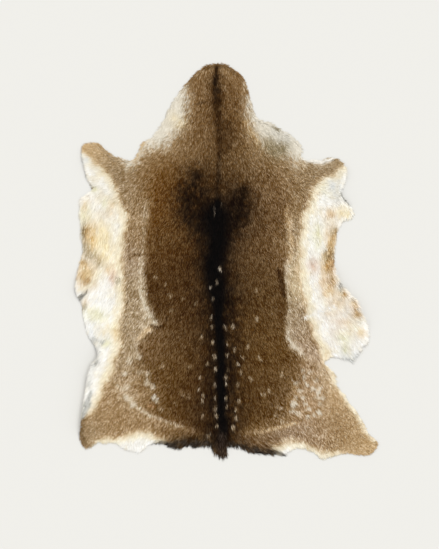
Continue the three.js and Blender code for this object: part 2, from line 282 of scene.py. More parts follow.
# Lines and bands in the brown hair, among them painted shade in wrinkles and folds. A row of the path is
# across, along and half width.
BROWN_MARKS = (
    # name, tone, strength, sharpness, path
    ("dark hair beside the stripe", "pitch", 0.86, 1.4,
     ((-14, 150, 30), (-14, 110, 62), (-14, 60, 60), (-14, 0, 54), (-2, -80, 56), (4, -120, 60),
      (2, -200, 52), (8, -300, 52), (6, -360, 52), (4, -420, 62), (4, -480, 60), (4, -518, 38))),
    ("nape", "peat", 0.28, 1.2, ((-3, 290, 22), (-3, 223, 34), (-3, 165, 36))),
    ("left of the nape", "peat", 0.42, 1.2,
     ((-112, 266, 12), (-84, 272, 14), (-52, 266, 22), (-44, 240, 16))),
    ("left shoulder patch", "pitch", 0.88, 1.8,
     ((-70, 252, 12), (-74, 236, 24), (-80, 209, 38), (-80, 180, 50), (-72, 151, 50),
      (-58, 122, 40), (-40, 95, 26))),
    ("right shoulder patch", "pitch", 0.90, 1.6,
     ((66, 206, 14), (58, 184, 36), (48, 151, 46), (38, 122, 38), (26, 93, 26))),
    ("dark hair beside the neck stripe", "peat", 0.35, 1.2,
     ((-8, 560, 18), (-8, 480, 20), (0, 400, 24), (4, 340, 24))),
    ("right of the neck stripe", "peat", 0.50, 1.4, ((24, 396, 10), (24, 360, 22), (16, 322, 16))),
    ("stripe on the neck", "pitch", 0.92, 1.5,
     ((-9, 557, 4), (-12, 528, 9), (-12, 493, 11), (-10, 458, 9))),
    ("stripe on the lower neck", "peat", 0.88, 1.5,
     ((-10, 458, 10), (-6, 423, 9), (-2, 383, 10), (-1, 339, 8), (-3, 302, 6))),
    ("stripe on the withers", "pitch", 0.50, 1.6, ((-3, 302, 5), (-6, 220, 6), (-6, 150, 9))),
    ("stripe on the back", "soot", 1.0, 2.0,
     ((-8, 172, 10), (-14, 150, 24), (-12, 122, 42), (-10, 93, 34), (-5, 64, 29), (-9, 29, 28),
      (-20, -9, 29), (-16, -46, 27), (-9, -81, 28), (-6, -116, 21), (-6, -154, 14), (-4, -191, 13),
      (-1, -226, 14), (3, -261, 12), (5, -299, 12), (1, -336, 13), (5, -371, 13), (3, -429, 13),
      (7, -458, 14), (10, -487, 13), (6, -515, 14))),
    ("left flank streaks", "frost", 0.40, 1.4,
     ((-212, 175, 8), (-216, 130, 11), (-221, 80, 4), (-224, 20, 5))),
    ("left flank line, front", "frost", 0.52, 1.3,
     ((-226, 20, 8), (-228, -29, 8), (-228, -75, 8), (-224, -104, 8), (-216, -131, 10),
      (-205, -157, 13), (-196, -177, 13))),
    ("left flank line, back", "frost", 0.54, 1.4,
     ((-194, -180, 10), (-208, -194, 12), (-220, -206, 12), (-235, -223, 9), (-243, -241, 6),
      (-240, -261, 5), (-235, -278, 4))),
    ("pale hair above the left haunch", "frost", 0.28, 1.5,
     ((-236, -275, 5), (-226, -300, 7), (-214, -325, 6), (-203, -345, 5))),
    ("bright part of the left flank line", "ash", 0.46, 1.9,
     ((-230, -80, 2), (-226, -104, 3.5), (-216, -131, 4), (-204, -156, 6), (-188, -173, 5))),
    ("bright part behind it", "biscuit", 0.72, 1.9,
     ((-202, -189, 7), (-218, -206, 8), (-238, -226, 5))),
    ("right flank streaks", "biscuit", 0.60, 1.7,
     ((194, 150, 7), (199, 120, 10), (202, 90, 10), (206, 64, 9), (205, 29, 8), (199, -5, 4))),
    ("right flank line", "frost", 0.66, 1.8,
     ((198, -5, 7), (191, -41, 5), (196, -81, 4), (202, -128, 6), (198, -174, 8), (197, -195, 8),
      (200, -225, 9), (214, -246, 10), (230, -262, 9), (250, -282, 6))),
    ("bright part of the right flank line", "ash", 0.45, 1.9,
     ((198, -180, 3), (199, -205, 5), (204, -232, 5), (222, -252, 6), (240, -268, 4))),
    ("glow under the left haunch line", "blush", 0.25, 1.3,
     ((-190, -452, 9), (-150, -464, 13), (-114, -474, 14), (-80, -490, 8))),
    ("glow round the right haunch line", "sand", 0.32, 1.3,
     ((70, -498, 9), (110, -486, 15), (160, -470, 15), (210, -454, 12))),
    ("left haunch line", "frost", 0.82, 1.8,
     ((-296, -357, 3), (-284, -377, 5), (-267, -397, 6.5), (-249, -415, 6), (-229, -429, 4.5),
      (-203, -444, 4))),
    ("left haunch line, inner end", "frost", 0.74, 2.0,
     ((-203, -444, 4), (-174, -455, 3.5), (-145, -467, 3), (-108, -478, 2))),
    ("right haunch line", "biscuit", 0.85, 2.2,
     ((90, -498, 1.5), (128, -490, 2.5), (151, -484, 3), (180, -477, 3.5), (206, -470, 3.5),
      (226, -463, 2.5))),
    # Painted shade in a wrinkle of the left loin
    ("left loin wrinkle", "umber", 0.55, 1.5,
     ((-265, 17, 4), (-232, 22, 4), (-195, 20, 4), (-150, 32, 3))),
    # Painted shade in a wrinkle at the left stifle
    ("left stifle wrinkle", "peat", 0.60, 1.8,
     ((-202, -186, 4), (-178, -190, 4), (-160, -182, 4), (-154, -158, 3))),
    # Painted shade in a fold of the right loin
    ("right loin fold", "peat", 0.85, 2.0,
     ((168, -20, 4), (175, -46, 8), (181, -74, 7), (188, -104, 3.5))),
    ("neck nick", "peat", 0.75, 2.0, ((-66, 458, 2), (-52, 460, 3), (-38, 462, 2))),
    ("rust mark", "rust", 0.60, 1.5, ((-206, -416, 3), (-192, -418, 4))),
    ("warm hair right of the neck", "tan", 0.34, 1.3, ((74, 404, 9), (90, 374, 11), (108, 348, 11))),
    ("patch right of the neck", "moss", 0.95, 1.4, ((146, 336, 19), (162, 321, 19), (180, 325, 16))),
    ("grey hair above the patch", "stone_grey_and_shade", 0.35, 1.3, ((160, 374, 16), (190, 362, 18))),
    ("yellowed hair left of the neck", "straw", 0.35, 1.3, ((-132, 412, 16), (-112, 400, 16))),
    ("haze of the left haunch", "frost", 0.30, 1.2,
     ((-258, -330, 14), (-262, -355, 22), (-258, -388, 22))),
    ("warm hair of the right haunch", "tan", 0.28, 1.3,
     ((212, -350, 8), (222, -385, 10), (204, -420, 14))),
    ("bright hair of the right haunch", "frost", 0.28, 1.5,
     ((258, -316, 8), (270, -345, 11), (283, -372, 13), (284, -396, 11), (298, -414, 8))),
    ("haze of the right haunch", "blush", 0.46, 1.2,
     ((250, -300, 24), (260, -340, 27), (262, -380, 32), (258, -415, 33), (232, -442, 22))),
)

# Lines and bands over brown and white alike, among them painted shade in folds, puckers and the notch
# before the left hind leg and along curled-up rims
LATE_MARKS = (
    # name, tone, strength, sharpness, path
    ("tan band of the right rim", "ochre", 0.52, 1.6,
     ((332, 88, 7), (326, 70, 11), (320, 40, 10), (316, 10, 10), (318, -20, 11),
      (322, -45, 9))),
    ("tan streak of the right belly", "tan", 0.35, 1.5,
     ((300, 20, 7), (300, -20, 8), (296, -60, 8), (306, -95, 7))),
    ("tan band of the right lobe", "ochre", 0.62, 1.6,
     ((386, -119, 6), (391, -132, 8), (398, -152, 7))),
    ("tan of the left lap", "ochre", 0.28, 1.6,
     ((-352, 6, 12), (-372, -22, 16), (-392, -56, 20))),
    ("tail", "smoke", 0.88, 2.0, ((8, -505, 12), (5, -531, 17), (6, -572, 18))),
    ("black of the left rump", "brush", 0.92, 1.9,
     ((-192, -527, 3), (-168, -526, 6), (-145, -529, 12), (-116, -531, 17), (-87, -528, 18),
      (-58, -529, 19), (-38, -532, 16))),
    ("black of the right rump", "brush", 0.90, 1.9,
     ((36, -532, 12), (58, -537, 13), (87, -543, 11), (116, -551, 11), (145, -554, 12),
      (171, -557, 9), (190, -562, 5))),
    ("outer edge of the right hind leg", "cream", 0.80, 1.8,
     ((313, -302, 7), (336, -345, 9), (363, -389, 9), (383, -421, 9), (406, -458, 8),
      (426, -496, 8), (446, -518, 6))),
    ("left armpit", "biscuit", 0.80, 1.8, ((-223, 345, 5), (-238, 325, 7), (-246, 302, 8))),
    ("shade of the left hind edge", "peat", 0.32, 1.5,
     ((-392, -441, 7), (-402, -473, 9), (-403, -505, 9), (-388, -536, 9), (-356, -530, 5))),
    # The left hind leg's edge curls up: its grey is the flesh side, darkened with painted shade under the
    # curl
    ("shaded flesh side of the left hind leg's turned edge", "stone_grey_and_shade", 0.95, 2.5,
     ((-371, -372, 3), (-378, -392, 6), (-384, -412, 12), (-392, -432, 8), (-399, -452, 3))),
    ("left flank lap, bright edge", "cream", 0.95, 2.5,
     ((-339, -20, 3), (-357, -44, 4), (-374, -67, 4), (-406, -81, 4))),
    ("left flank lap, shade", "slate_shade", 0.70, 2.0,
     ((-384, -88, 2), (-396, -97, 4), (-405, -104, 6))),
    ("right flank parting", "ivory", 0.95, 2.2,
     ((247, -162, 4), (276, -148, 4), (305, -139, 4), (331, -131, 3))),
    # Painted shade in a pucker at the left armpit
    ("left armpit pucker", "olive_stain_and_shade", 0.95, 2.2, ((-389, 233, 3), (-371, 214, 4))),
    # Painted shade in a pucker at the right armpit
    ("right armpit pucker", "slate_shade", 0.80, 2.2,
     ((351, 197, 3), (363, 180, 3), (377, 162, 2.5))),
    ("tick on the right of the neck", "olive_stain_and_shade", 0.75, 1.8, ((154, 391, 3), (169, 380, 4))),
    # Painted shade of a fold before the left hind leg
    ("left hind fold", "stone_grey_and_shade", 0.85, 2.0,
     ((-381, -223, 4), (-360, -229, 5), (-336, -232, 4))),
    # Painted shade in the notch before the left hind leg
    ("shade in the notch before the left hind leg", "stone_grey_and_shade", 0.60, 1.5,
     ((-352, -245, 6), (-352, -270, 6), (-364, -296, 4), (-375, -332, 8), (-380, -365, 5))),
    ("front rim of the right foreleg", "ivory", 0.85, 2.0,
     ((240, 297, 3), (262, 293, 8), (292, 290, 9), (314, 293, 6), (336, 302, 2))),
    # Painted shade of the curled rim of the left foreleg
    ("shade along the rim of the left foreleg", "slate_shade", 0.45, 1.5,
     ((-403, 300, 2.5), (-396, 266, 2.5), (-390, 240, 2.5))),
    # The curled rim of the right foreleg, greyed with painted shade
    ("rim of the right foreleg", "stone_grey_and_shade", 0.60, 1.5,
     ((366, 282, 3), (371, 262, 3), (368, 240, 3))),
    ("hind edge of the right flank", "hay", 0.70, 1.8,
     ((345, -284, 3), (365, -291, 4), (388, -301, 4))),
)

# Stains and tinges of the white hair, and painted shade: the slate rows and the stone row are painted
# shade, and the olive rows are dark stains, near the rims the dried skin edge darkened by painted shade
# of its curl
STAINS = (
    # across, along, half across, half along, tone, strength
    # left foreleg and belly
    (-362, 250, 22, 46, "ash", 0.45), (-338, 187, 34, 28, "ash", 0.68),
    (-330, 128, 36, 28, "ash", 0.55), (-322, 60, 32, 40, "ash", 0.32),
    (-389, 296, 12, 30, "chalk", 0.5), (-391, 160, 14, 24, "ochre", 0.35),
    # The olive rows by the left rim: the dried skin edge darkened by painted shade of its curl
    (-389, 136, 16, 24, "hay", 0.5), (-394, 87, 9, 20, "olive_stain_and_shade", 0.8),
    (-383, 75, 14, 34, "ochre", 0.6), (-367, 66, 18, 38, "tan", 0.75),
    (-389, 35, 12, 22, "olive_stain_and_shade", 0.45), (-368, 20, 12, 14, "olive_stain_and_shade", 0.5),
    (-348, 0, 10, 12, "olive_stain_and_shade", 0.6), (-396, -16, 18, 28, "ochre", 0.75),
    (-389, -52, 24, 22, "ochre", 0.6), (-371, -29, 20, 18, "straw", 0.5),
    (-339, 78, 26, 34, "straw", 0.6), (-331, 29, 24, 36, "straw", 0.6),
    (-305, 0, 14, 24, "straw", 0.3), (-319, -23, 14, 16, "tan", 0.45),
    (-310, -44, 10, 20, "mauve", 0.55), (-296, -55, 8, 8, "olive_stain_and_shade", 0.5),
    (-391, -119, 9, 10, "ochre", 0.6), (-394, -133, 7, 8, "olive_stain_and_shade", 0.65),
    (-362, -148, 26, 14, "hay", 0.55), (-354, -164, 24, 12, "hay", 0.4),
    (-325, -197, 24, 18, "straw", 0.35), (-299, -206, 9, 20, "tan", 0.4),
    (-371, -203, 16, 24, "chalk", 0.8), (-331, -235, 14, 10, "hay", 0.6),
    # The slate row here: painted shade in the notch before the left hind leg
    (-357, -293, 7, 9, "slate_shade", 0.55), (-336, -331, 14, 24, "straw", 0.2),
    (-313, 165, 10, 14, "tan", 0.35), (-331, 171, 10, 12, "hay", 0.5),
    (-362, 209, 10, 8, "hay", 0.5), (-320, 140, 30, 10, "tan", 0.2),
    # right foreleg and belly
    (284, 197, 11, 11, "tan", 0.2), (305, 209, 22, 20, "hay", 0.2),
    # The stone row here: painted shade in the right armpit crease
    (334, 215, 24, 26, "chalk", 0.8), (342, 191, 18, 14, "stone_grey_and_shade", 0.3),
    (328, 142, 26, 18, "tan", 0.35), (322, 138, 10, 10, "rust", 0.3),
    (363, 142, 22, 16, "straw", 0.6), (307, 128, 9, 16, "ochre", 0.2),
    (281, 75, 14, 30, "hay", 0.55), (328, 110, 14, 16, "tan", 0.15),
    # The olive rows by the right rim: the dried skin edge darkened by painted shade of its curl
    (322, 78, 18, 22, "ochre", 0.5), (331, 87, 11, 10, "olive_stain_and_shade", 0.6),
    (322, 46, 11, 24, "tan", 0.65), (316, 15, 15, 18, "olive_stain_and_shade", 0.85),
    (310, -17, 12, 18, "ochre", 0.7), (325, -9, 8, 24, "rust", 0.5),
    (270, -12, 14, 18, "mauve", 0.6),
    (305, -61, 20, 20, "mauve", 0.3),
    (322, -61, 14, 14, "ochre", 0.7), (328, -88, 22, 14, "tan", 0.5),
    # The slate row here: painted shade beside the raised right rim
    (351, -70, 9, 16, "slate_shade", 0.6), (358, -96, 10, 10, "ochre", 0.6),
    (345, -125, 40, 30, "blush", 0.2), (352, -195, 50, 50, "blush", 0.16),
    (339, -116, 28, 14, "tan", 0.25), (390, -130, 12, 18, "rust", 0.35),
    # The olive and slate rows here: painted shade by the raised edge of the right lobe
    (386, -114, 6, 8, "olive_stain_and_shade", 0.3), (403, -148, 9, 12, "slate_shade", 0.3),
    (392, -154, 16, 8, "ochre", 0.5), (319, -148, 22, 8, "ochre", 0.25),
    (336, -171, 22, 8, "mauve", 0.22), (363, -174, 20, 10, "tan", 0.22),
    (409, -206, 12, 12, "tan", 0.5), (357, -220, 18, 14, "hay", 0.5),
    (383, -191, 24, 18, "straw", 0.3), (363, -255, 10, 16, "hay", 0.5),
    (313, -270, 10, 14, "tan", 0.3), (386, -284, 34, 24, "chalk", 0.9),
)

# Spots in the brown hair
SPOTS = (
    # name, tone, half across, half along, strength, places (across, along)
    ("inner left row", "frost", 4.5, 6.5, 0.64,
     ((0, -20), (-9, -61), (-26, -75), (-20, -107), (-25, -160), (-23, -189), (-21, -232),
      (-16, -276), (-13, -310), (-15, -357), (-13, -394), (-13, -426), (-9, -444), (-9, -476))),
    ("inner right row", "frost", 4.5, 6.5, 0.68,
     ((15, -189), (20, -235), (20, -270), (23, -313), (17, -334), (17, -354), (17, -394),
      (19, -421))),
    ("outer left row", "frost", 5, 5.5, 0.56,
     ((-52, -218), (-35, -296), (-58, -334), (-61, -368), (-48, -386), (-52, -403),
      (-52, -447), (-32, -505))),
    ("outer right row", "frost", 5, 6, 0.66,
     ((38, -186), (41, -255), (52, -296), (61, -319), (51, -357), (55, -403), (44, -429),
      (45, -450), (38, -481))),
    ("left side", "frost", 6.5, 6, 0.40,
     ((-157, -64), (-145, -99), (-107, -107), (-139, -142), (-186, -44), (-70, -122),
      (-87, -305), (-107, -383), (-90, -389), (-125, -412), (-154, -357), (-168, -302),
      (-145, -426), (-174, -426))),
    ("left haunch", "ash", 9, 8, 0.55,
     ((-235, -276), (-261, -290), (-232, -319), (-206, -325), (-276, -325),
      (-212, -348), (-194, -360), (-270, -365), (-270, -392), (-252, -415))),
    ("bright spot of the left haunch", "ash", 6, 7, 0.95,
     ((-192, -392), (-187, -398), (-182, -404))),
    ("right side", "frost", 6.5, 6.5, 0.50,
     ((104, -84), (148, -151), (104, -168), (78, -247), (67, -278), (116, -281), (90, -339),
      (139, -374), (125, -383), (177, -325), (206, -339), (223, -371), (148, -421),
      (174, -423), (162, -444), (180, -461))),
    ("bright spot of the right haunch", "ash", 9, 8, 1.0, ((212, -412),)),
    ("right haunch", "ash", 7.5, 7, 0.76,
     ((209, -432), (226, -441), (241, -394), (258, -426), (287, -438), (255, -450),
      (281, -392), (290, -365), (278, -345), (244, -334), (261, -319), (268, -368),
      (296, -395), (272, -445), (221, -352), (232, -374), (222, -392), (252, -356),
      (240, -314), (288, -412), (247, -412), (284, -378))),
    ("pale hairs on the withers", "frost", 1.8, 10, 0.3, ((-17, 155), (-16, 140), (3, 165))),
)

# The way the hair lies, in degrees from +X, the length of its locks, their disorder in degrees
# and how ragged their tips are at the rim
NAP = (
    # across, along, reach, direction, length, disorder, raggedness
    # neck
    (-6, 545, 60, -90, 20, 9, 3), (-87, 485, 60, -112, 22, 12, 6), (60, 490, 60, -74, 22, 11, 4),
    (-130, 430, 50, -124, 24, 18, 9), (-170, 390, 50, -134, 24, 20, 9),
    (-200, 350, 50, -140, 24, 20, 8), (122, 400, 50, -50, 24, 20, 8), (188, 368, 50, -44, 24, 20, 8),
    (226, 325, 50, -48, 24, 18, 6), (-58, 400, 70, -97, 24, 11, 3), (44, 400, 70, -83, 24, 11, 3),
    # shoulders and forelegs
    (-174, 281, 70, -118, 20, 14, 3), (145, 281, 70, -62, 20, 14, 3),
    (-275, 261, 50, -165, 18, 14, 3), (-371, 325, 45, 155, 14, 10, 2),
    (290, 261, 50, -12, 18, 14, 3), (334, 281, 45, 16, 14, 10, 2), (-348, 252, 40, -150, 18, 10, 3),
    (335, 215, 40, -40, 18, 10, 3), (-87, 209, 60, -98, 22, 12, 3), (72, 209, 60, -82, 22, 12, 3),
    # back and flanks
    (-6, 122, 60, -90, 24, 9, 3), (0, -110, 60, -90, 24, 9, 3), (0, -400, 60, -90, 24, 9, 3),
    (-160, 122, 70, -112, 20, 13, 3), (145, 122, 70, -68, 20, 13, 3),
    (-246, 122, 50, -120, 20, 13, 3), (232, 122, 50, -62, 20, 13, 3),
    (-160, -52, 70, -108, 20, 13, 3), (145, -52, 70, -72, 20, 13, 3),
    (-261, -52, 50, -115, 20, 13, 3), (226, -52, 50, -65, 20, 13, 3),
    (-145, -255, 70, -112, 20, 13, 3), (130, -255, 70, -68, 20, 13, 3),
    (-261, -255, 50, -118, 20, 13, 3), (246, -255, 50, -60, 20, 13, 3),
    # belly
    (-348, 122, 50, -106, 32, 9, 6), (322, 122, 50, -82, 32, 9, 6), (-385, 6, 50, -118, 32, 10, 6),
    (-391, -81, 45, -128, 28, 12, 6), (-335, 20, 50, -100, 32, 9, 5), (300, 6, 50, -78, 32, 10, 6),
    (-340, -130, 50, -112, 36, 9, 5), (-365, -205, 50, -128, 34, 10, 5),
    (325, -95, 50, -62, 34, 11, 6), (385, -150, 45, -40, 32, 12, 5), (395, -205, 45, -35, 34, 10, 5),
    (386, -290, 30, -58, 34, 14, 62),
    (320, -240, 50, -62, 36, 9, 6), (-333, -299, 45, -128, 28, 10, 5), (-358, -357, 45, -125, 24, 10, 4),
    # haunches, hind legs and rump
    (-116, -400, 70, -108, 22, 13, 3), (102, -400, 70, -72, 22, 13, 3),
    (-232, -400, 60, -125, 18, 14, 3), (232, -400, 60, -55, 18, 14, 3),
    (-333, -458, 60, -128, 14, 11, 2), (333, -458, 60, -50, 14, 11, 2),
    (423, -534, 50, -42, 13, 10, 2), (-386, -516, 50, -122, 13, 10, 2),
    (-232, -530, 45, -100, 30, 12, 5), (261, -555, 45, -80, 30, 12, 6),
    (-120, -525, 40, -148, 26, 11, 8), (102, -535, 40, -36, 26, 11, 8),
    (170, -552, 30, -24, 24, 9, 7), (-50, -520, 30, -112, 26, 12, 13), (50, -520, 30, -70, 26, 12, 14),
    (5, -548, 25, -84, 36, 7, 19),
)

# How colours meet: the millimetres past an edge at which a change starts and is complete
NECK_WARMTH = (-28, 2)  # biscuit hair round the pale sides of the neck
NECK_PALE = (-18, 30)  # pale hair coming in over it
BELLY_WARMTH = (-20, -2)  # biscuit hair before the white
BELLY_WHITE = (-11, 7)  # white hair coming in over it
BELLY_IVORY = (6, 26)  # cream hair turning to ivory
# The same along the hide, for the back's darker field
SADDLE_END = (205, 345)  # it fades out toward the neck
RIBS = (-60, 60)  # its edge gets softer here
WITHERS = (130, 300)  # and softer still here

# Fields of smooth noise: the size of their patches in millimetres, and a seed for each
EDGE_RIPPLES, EDGE_WAVES = (9, 1), (24, 2)
NECK_TUFTS, NECK_HAIRS = (5.5, 3), (2.3, 8)
SPECKLES, STAIN_PATCHES = (4, 4), (7, 5)
BLOTCHES, SMALL_BLOTCHES = (13, 6), (6, 7)
TINGE_CLOUDS, TINGE_PATCHES = (17, 19), (6, 20)
SWIRLS, SMALL_SWIRLS = (26, 11), (11, 12)
RIM_GAPS, HAIR_TUFTS, NAP_RIPPLES = (3.2, 16), (3.2, 13), (3.6, 17)
SHADING, BROAD_SHADING, PALE_SHADING = (9, 14), (30, 15), (11, 18)

# Lines and bands at least as sharp as this are drawn clean, and softer ones are blotchy
CLEAN = 2
# The share of light that the palest hair gives back
PALEST_HAIR = 0.96
# Sets how much each spot differs from its row
SPOT_SEED = 5
# Where most of a lock shows, as a share of its length
MOST_SHOWN = 0.65

# The coat is grown in these parts, so that none is too heavy. The first row that fits is used.
COAT_PARTS = (
    # name, white hair, least across, most across, least along, most along
    ("left_belly_hair", True, -500, 0, -700, 700),
    ("right_belly_hair", True, 0, 500, -700, 700),
    ("neck_coat", False, -500, 500, 320, 700),
    ("shoulder_coat", False, -500, 500, 125, 320),
    ("left_side_coat", False, -500, -6, -200, 125),
    ("right_side_coat", False, -6, 500, -200, 125),
    ("left_haunch_coat", False, -500, -6, -700, -200),
    ("right_haunch_coat", False, -6, 500, -700, -200),
)


# ---------------------------------------------------------------------------------------------
# Sums over whole arrays

def ease(value, low, high):
    """0 below low, 1 above high, and a smooth S between them."""
    t = np.clip((value - low) / (high - low), 0, 1)
    return t * t * (3 - 2 * t)


def mix(a, b, share):
    """a where share is 0 and b where it is 1, for an array of colours."""
    return a + (np.asarray(b) - a) * np.asarray(share)[..., None]


def grain(x, y, size, seed):
    """Smooth noise from -1 to 1: random numbers on a square lattice, eased between its points."""
    table = np.random.default_rng(seed).uniform(-1, 1, (256, 256))
    u, v = x / size, y / size
    i, j = np.floor(u).astype(int), np.floor(v).astype(int)
    s, t = ease(u - i, 0, 1), ease(v - j, 0, 1)
    i, j, i1, j1 = i % 256, j % 256, (i + 1) % 256, (j + 1) % 256
    near = table[i, j] * (1 - s) + table[i1, j] * s
    far = table[i, j1] * (1 - s) + table[i1, j1] * s
    return near * (1 - t) + far * t


def along_stretch(x, y, a, b):
    """Distance to the straight stretch from a to b, and how far along it the nearest point is."""
    dx, dy = b[0] - a[0], b[1] - a[1]
    t = np.clip(((x - a[0]) * dx + (y - a[1]) * dy) / (dx * dx + dy * dy), 0, 1)
    return np.hypot(x - a[0] - t * dx, y - a[1] - t * dy), t


def distance_inside(x, y, outline):
    """Distance to a closed outline, above nought inside it: the nearest of its stretches, with
    the sign from how many of them lie to one side of the place."""
    nearest = np.full(x.shape, np.inf)
    inside = np.zeros(x.shape, dtype=bool)
    for a, b in zip(outline, outline[1:] + outline[:1]):
        nearest = np.minimum(nearest, along_stretch(x, y, a, b)[0])
        if a[1] != b[1]:
            crosses = (a[1] > y) != (b[1] > y)
            inside ^= crosses & (x < a[0] + (b[0] - a[0]) * (y - a[1]) / (b[1] - a[1]))
    return np.where(inside, nearest, -nearest)


def stroke(x, y, path, sharpness):
    """How far a place is under a brush stroke, from 0 to 1: the distance to the path over its
    half width there, taken to a power, so that a high sharpness gives a crisp edge."""
    ratio = np.full(x.shape, np.inf)
    for a, b in zip(path, path[1:]):
        distance, t = along_stretch(x, y, a, b)
        ratio = np.minimum(ratio, distance / (a[2] + (b[2] - a[2]) * t))
    return 1 / (1 + ratio ** (2 * sharpness))


def blend_places(x, y, places, values):
    """Values given at a few places, blended by bell curves about them, as wide as their reach."""
    across, along, reach = (np.array([row[i] for row in places], dtype=float) for i in range(3))
    far2 = (x[:, None] - across) ** 2 + (y[:, None] - along) ** 2
    weight = np.exp(-far2 / (2 * reach ** 2)) + 1e-9 / (1 + far2)
    return weight @ np.asarray(values, dtype=float) / weight.sum(axis=1)[:, None]


# ---------------------------------------------------------------------------------------------
# How the frame's solid lies

class Lie:
    """The frame's solid read on a square grid: top is the height of its hair side, flesh that of
    its flesh side, and inward the distance in from its rim, all in metres."""

    def __init__(self, node, step):
        """Casts upright rays at each grid point, carries the heights out past the rim and evens
        them out."""
        self.step = step
        mesh = node.data
        points = np.empty(len(mesh.vertices) * 3)
        mesh.vertices.foreach_get("co", points)
        points = points.reshape(-1, 3)
        mesh.calc_loop_triangles()
        corners = np.empty(len(mesh.loop_triangles) * 3, dtype=int)
        mesh.loop_triangles.foreach_get("vertices", corners)
        corners = corners.reshape(-1, 3)
        tree = BVHTree.FromPolygons(points.tolist(), corners.tolist())
        low, high = points.min(axis=0), points.max(axis=0)
        margin = 6 * step
        self.x0, self.y0 = low[0] - margin, low[1] - margin
        columns = int(math.ceil((high[0] + margin - self.x0) / step)) + 1
        rows = int(math.ceil((high[1] + margin - self.y0) / step)) + 1
        self.x, self.y = np.meshgrid(self.x0 + step * np.arange(columns),
                                     self.y0 + step * np.arange(rows), indexing="ij")
        self.top = self.heights(tree, 1.0, -1.0)
        self.flesh = self.heights(tree, -1.0, 1.0)
        inside = np.isfinite(self.top)
        self.inward = np.where(inside, 1, -1) * self.rim_distance(points[corners])
        self.top = self.smoothed(self.filled(self.top), 3)
        self.flesh = self.smoothed(self.filled(self.flesh), 1)

    def heights(self, tree, start, way):
        """Where upright rays from start first meet the solid, and nan where they miss it."""
        line = Vector((0, 0, way))
        hits = (tree.ray_cast(Vector((x, y, start)), line)[0]
                for x, y in zip(self.x.ravel(), self.y.ravel()))
        found = [math.nan if hit is None else hit.z for hit in hits]
        return np.array(found).reshape(self.x.shape)

    def rim_distance(self, triangles):
        """Plan distance to the upright faces at the rim, from points 2 mm apart on their edges."""
        normal = np.cross(triangles[:, 1] - triangles[:, 0], triangles[:, 2] - triangles[:, 0])
        size = np.linalg.norm(normal, axis=1)
        upright = triangles[np.abs(normal[:, 2]) < 1e-3 * size]
        shares = np.linspace(0, 1, 9)[:, None]
        sides = [upright[:, None, i, :2] * (1 - shares) + upright[:, None, i - 1, :2] * shares
                 for i in range(3)]
        marks = np.unique(np.round(np.concatenate(sides).reshape(-1, 2), 3), axis=0)
        tree = KDTree(len(marks))
        for i, (x, y) in enumerate(marks.tolist()):
            tree.insert((x, y, 0), i)
        tree.balance()
        found = [tree.find((x, y, 0))[2] for x, y in zip(self.x.ravel(), self.y.ravel())]
        return np.array(found).reshape(self.x.shape)

    @staticmethod
    def filled(values):
        """Values carried outward from the rim, each gap getting the mean of its neighbours."""
        values = values.copy()
        while np.isnan(values).any():
            padded = np.pad(values, 1, constant_values=np.nan)
            around = np.stack([padded[1 + i:padded.shape[0] - 1 + i, 1 + j:padded.shape[1] - 1 + j]
                               for i in (-1, 0, 1) for j in (-1, 0, 1)])
            count = np.isfinite(around).sum(axis=0)
            mean = np.nansum(around, axis=0) / np.maximum(count, 1)
            values = np.where(np.isnan(values) & (count > 0), mean, values)
        return values

    @staticmethod
    def smoothed(values, times):
        """Values averaged with their neighbours in weights of 1, 2 and 1, both ways."""
        for _ in range(times):
            padded = np.pad(values, 1, mode="edge")
            rows = (padded[:-2] + 2 * padded[1:-1] + padded[2:]) / 4
            values = (rows[:, :-2] + 2 * rows[:, 1:-1] + rows[:, 2:]) / 4
        return values

    def at(self, values, x, y):
        """Values between grid points, straight both ways."""
        u = np.clip((x - self.x0) / self.step, 0, values.shape[0] - 1.001)
        v = np.clip((y - self.y0) / self.step, 0, values.shape[1] - 1.001)
        i, j = u.astype(int), v.astype(int)
        s, t = u - i, v - j
        near = values[i, j] * (1 - s) + values[i + 1, j] * s
        far = values[i, j + 1] * (1 - s) + values[i + 1, j + 1] * s
        return near * (1 - t) + far * t

    def outward(self, x, y):
        """The way straight out over the nearest rim, as unit steps across and along."""
        smooth = self.smoothed(self.inward, 2)
        gx, gy = np.gradient(smooth, self.step)
        ox, oy = -self.at(gx, x, y), -self.at(gy, x, y)
        size = np.maximum(np.hypot(ox, oy), 1e-6)
        return ox / size, oy / size


# ---------------------------------------------------------------------------------------------
# The coat's colour and nap

def brown_hair(x, y, wander, shade):
    """The brown of the coat: browns blended from a few places, with the back's darker field laid
    over them and then the pale sides of the neck. The change at the field's edge takes 12 mm to
    either side at the haunches, 20 at the ribs and 60 at the withers."""
    colour = blend_places(x, y, OUTER_PLACES, [shade(row[3]) for row in OUTER_PLACES])
    saddle = blend_places(x, y, SADDLE_PLACES, [shade(row[3]) for row in SADDLE_PLACES])
    softness = 12 + 8 * ease(y, *RIBS) + 40 * ease(y, *WITHERS)
    in_saddle = ease((distance_inside(x, y, SADDLE_EDGE) + wander) / softness, -1, 1)
    colour = mix(colour, saddle, in_saddle * (1 - ease(y, *SADDLE_END)))
    for outline in NECK_SIDES:
        depth = distance_inside(x, y, outline) + 1.5 * wander
        colour = mix(colour, shade("biscuit"), 0.3 * ease(depth, *NECK_WARMTH))
        depth += 9 * grain(x, y, *NECK_TUFTS) + 17 * grain(x, y, *NECK_HAIRS)
        colour = mix(colour, shade("ash"), ease(depth, *NECK_PALE))
    return colour


